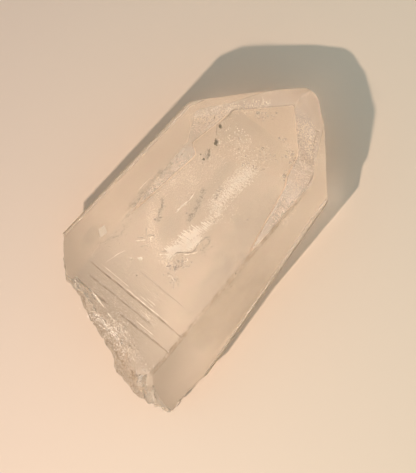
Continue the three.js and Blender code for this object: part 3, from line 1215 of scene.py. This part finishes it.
# gas bubbles, one by one: x, y, depth, radius
bubblePlaces = [
    (23.4, 2.5, 0.8, 0.22), (20.1, -0.8, 0.8, 0.24), (20.3, -1.5, 0.8, 0.2), (20.7, -1.8, 0.8, 0.24),
    (16.7, 0.3, 0.9, 0.3), (15.5, 4.5, 0.9, 0.2), (13.9, 3.4, 0.9, 0.22), (15.3, -1.3, 0.9, 0.27),
    (18.3, -3.7, 0.9, 0.3), (19.3, -4.4, 0.8, 0.3), (19.9, -5.4, 0.8, 0.24), (19.5, -6.3, 0.8, 0.3),
    (17.9, -5, 0.9, 0.25), (15.3, -5.7, 1, 0.36), (17.1, -2.1, 0.9, 0.26), (13.6, 1.7, 1, 0.2),
    (12.4, 1.1, 1, 0.24), (13.1, -0.4, 1, 0.25), (13.2, -1.1, 1, 0.24), (-9, -1.4, 1.8, 0.36),
    (5.6, -5.6, 1.4, 0.16), (-2.9, -10, 0.7, 0.2), (21.2, 5, 0.8, 0.3), (22, 3.4, 0.8, 0.16),
]
# and in swarms: line, depth, how many, spread, largest radius
bubbleSwarms = [
    ([(-9.4, 0), (-8.4, -1.4), (-6.6, -2.2)], 1.9, 90, 0.45, 0.16),
    ([(-10.6, -1.2), (-10.8, -3.4)], (1.8, 1.6), 50, 0.5, 0.13),
    ([(15.8, 0.8), (17.6, -3.6)], 1, 26, 0.6, 0.14),
    ([(19.4, -3.6), (18.4, -6)], 0.9, 34, 0.5, 0.15),
    ([(16.4, -5.2), (14.6, -6.2)], 1, 18, 0.35, 0.13),
    ([(12.6, 2), (13.4, -1.4)], 1.2, 30, 0.4, 0.13),
    ([(20.6, 5.4), (22.6, 2.6)], 0.9, 26, 0.5, 0.13),
    ([(-24, 0), (-25, -5)], (0.8, 0.9), 40, 0.7, 0.11),
]


bubbleShape = {
    "squash": (0.8, 1.2),  # each way
    "swarmSquash": (0.75, 1.25),
    "swarmSizes": (0.4, 1),  # shares of the largest
    "layer": 0.3,  # how far a swarm spreads in depth, as a share
}


def bubbles():
    look = bubbleShape
    corners, ballFaces = ball(2)
    parts = []
    for x, y, depth, radius in bubblePlaces:
        bubble = corners * radius * grains.uniform(*look["squash"], 3)
        parts.append((bubble + sunk((x, y), depth), ballFaces))
    for places, depth, count, spread, largest in bubbleSwarms:
        line = lineThrough(sunk(places, depth), 60)
        for k in range(count):
            at = line[grains.integers(60)]
            at = at + np.clip(grains.normal(0, 1, 3), -2, 2) * (spread, spread, look["layer"] * spread)
            radius = largest * grains.uniform(*look["swarmSizes"])
            bubble = corners * radius * grains.uniform(*look["swarmSquash"], 3)
            parts.append((bubble + at, ballFaces))
    return parts


sealIn("bubbles", bubbles(), fills["bubble"])

# dark mineral grains: x, y, depth, half length, half width
speckPlaces = [
    (15.6, 10.3, 0.8, 0.24, 0.18),
    (15, 8.5, 0.7, 0.42, 0.27),
    (12.3, 7.2, 0.8, 0.7, 0.25),
    (12, 7.2, 0.9, 0.28, 0.2),
    (10.3, 7.1, 1, 0.32, 0.17),
    (9.8, 6.8, 1, 0.36, 0.18),
    (9.4, 6.6, 1, 0.2, 0.12),
    (8.7, 7, 1, 0.22, 0.2),
    (9, 7.9, 1, 0.14, 0.12),
    (13.6, 8.2, 0.8, 0.3, 0.07),
    (5.5, 1.2, 1.6, 0.12, 0.1),
    (-0.3, 3.2, 1.8, 0.14, 0.09),
    (-4.7, 6.6, 1.8, 0.14, 0.12),
    (-14.2, 2.9, 0.8, 0.16, 0.1),
    (-5.1, -10.8, 0.7, 0.16, 0.14),
]


speckShape = {
    "turn": -50,  # degrees from straight across
    "lumps": (0.45, 0.7),  # height and size, as shares
    "height": 0.8,  # of the width
}


def specks():
    corners, ballFaces = ball(2)
    turn = math.radians(speckShape["turn"])
    lumpHeight, lumpSize = speckShape["lumps"]
    parts = []
    for k, (x, y, depth, long, wide) in enumerate(speckPlaces):
        lumpy = corners * (1 + lumpHeight * hills(corners, lumpSize, 70 + k))[:, None]
        lumpy *= (wide, long, speckShape["height"] * wide)
        across, ahead = turned(lumpy[:, 0], lumpy[:, 1], turn)
        parts.append((np.column_stack([across, ahead, lumpy[:, 2]]) + sunk((x, y), depth), ballFaces))
    return parts


sealIn("specks", specks(), fills["mineral"])

# a thin closed sheet of soft grey: older growth of the crystal at its grown-over point,
# and painted shade in soft patches; where its corners reach past the crystal, they are all but clear
zoneShape = {
    "x": (-23, 20),
    "y": (-17.2, 15),
    "depth": (2.8, 1.6),  # in the middle and toward the point and the sides
    "thick": 0.06,
    "step": 0.17,
    "rim": 1.0,
    "haze": 0.03,
    "tint": (0.88, 0.89, 0.89, 1),
    "ghost": {"front": (19.8, 19.6), "left": (8.8, 8.6), "fade": (10, 19)},  # the grown-over point
}
# patches of painted shade: x, y, half length, half width, turn in degrees, strength
paintedShadePatches = [
    (-4.8, 3.9, 3.2, 1.5, 10, 0.5),
    (1.6, 3, 2.4, 1.2, 20, 0.5),
    (-0.5, 10, 6, 1.2, 0, 0.35),
    (8.6, 2.9, 3.6, 1.2, 4, 0.4),
    (6.5, -4.2, 4.5, 1.7, 0, 0.3),
    (15.4, 6.3, 4, 2.4, 0, 0.5),
    (17, -3, 3.2, 3.4, 0, 0.25),
    (-12.8, 0.6, 3.4, 4.5, 0, 0.15),
    (-9, -13.4, 9, 2.2, 0, 0.85),
    (3, -13.4, 7, 2, 0, 0.6),
    (-7.5, -8.5, 7, 2.4, 0, 0.65),
    (4.5, -7, 8, 2.8, 0, 0.75),
    (-13.8, 13, 3, 1.6, 0, 0.75),
    (-14.2, 5.5, 3, 3.2, 0, 0.3),
]


# its points, faces and tones
def zoneLayer():
    shape = zoneShape
    (west, east), (south, north) = shape["x"], shape["y"]
    rows = round((east - west) / shape["step"]) + 1
    files = round((north - south) / shape["step"]) + 1
    x, y = np.meshgrid(np.linspace(west, east, rows), np.linspace(south, north, files), indexing="ij")
    x, y = x.ravel(), y.ravel()
    flat = np.column_stack([x, y, x * 0])
    deep, shallow = shape["depth"]
    flat[:, 2] = deep + (shallow - deep) * smooth(8, 14, np.maximum(x, 0.8 * np.abs(y) + 3))
    tone = shape["haze"] * (1 + hills(flat, 5, 220))
    for zoneX, zoneY, long, wide, turn, strength in paintedShadePatches:
        along, across = turned(x - zoneX, y - zoneY, -math.radians(turn))
        away = np.hypot(along / long, across / wide) + 0.35 * hills(flat, 1.6, 200)
        tone += strength * smooth(1.5, 0.3, away)
    ghost = smooth(*shape["ghost"]["front"], x + 0.05 * y + 0.12 * hills(flat, 1.1, 206))
    wavyLeft = y + 0.3 * np.maximum(16 - x, 0) + 0.15 * hills(flat, 0.9, 207)
    ghost *= smooth(*shape["ghost"]["left"], wavyLeft)
    tone += ghost * smooth(*shape["ghost"]["fade"], x + 0.7 * (y - 8))
    rim = np.minimum(np.minimum(x - west, east - x), np.minimum(y - south, north - y))
    tone = np.clip(tone, 0, 1) * smooth(0, shape["rim"], rim)
    top = sunk(flat[:, :2], flat[:, 2])
    bottom = top - (0, 0, shape["thick"])
    index = np.arange(rows * files).reshape(rows, files)
    below = rows * files
    faces = []
    for a, b in zip(index[:-1, :-1].ravel().tolist(), index[1:, :-1].ravel().tolist()):
        faces.append((a, b, b + 1, a + 1))
        faces.append((a + below, a + 1 + below, b + 1 + below, b + below))
    edges = (index[0], index[1:, -1], index[-1, -2::-1], index[-2:0:-1, 0])
    border = np.concatenate(edges).tolist()
    for a, b in zip(border, border[1:] + border[:1]):
        faces.append((b, b + below, a + below, a))
    print("zone layer, whose corners reach", round(outside(bottom).max(), 2), "mm past the crystal")
    return np.vstack([top, bottom]), faces, np.concatenate([tone, tone])


def makeZoneFill():
    material, nodes = newMaterial("zoneFill")
    shader = nodes["Principled BSDF"]
    setInputs(shader, {"Transmission Weight": 1, "IOR": 1, "Roughness": 0})
    tone = addNode(nodes, "Attribute", attribute_name="tone")
    tint = addNode(nodes, "Mix", {"A": (1, 1, 1, 1), "B": zoneShape["tint"]}, data_type="RGBA")
    wire((tone, "Fac", tint, "Factor"), (tint, "Result", shader, "Base Color"))
    return material


zonePoints, zoneFaces, zoneTones = zoneLayer()
ghostAndShadeLayer = sealIn("ghostAndShadeLayer", [(zonePoints, zoneFaces)], makeZoneFill())
ghostAndShadeLayer.data.attributes.new("tone", "FLOAT", "POINT").data.foreach_set("value", zoneTones)

visualLow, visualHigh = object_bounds()
size = {"cad": [list(cadLow), list(cadHigh)], "visual": [list(visualLow), list(visualHigh)]}
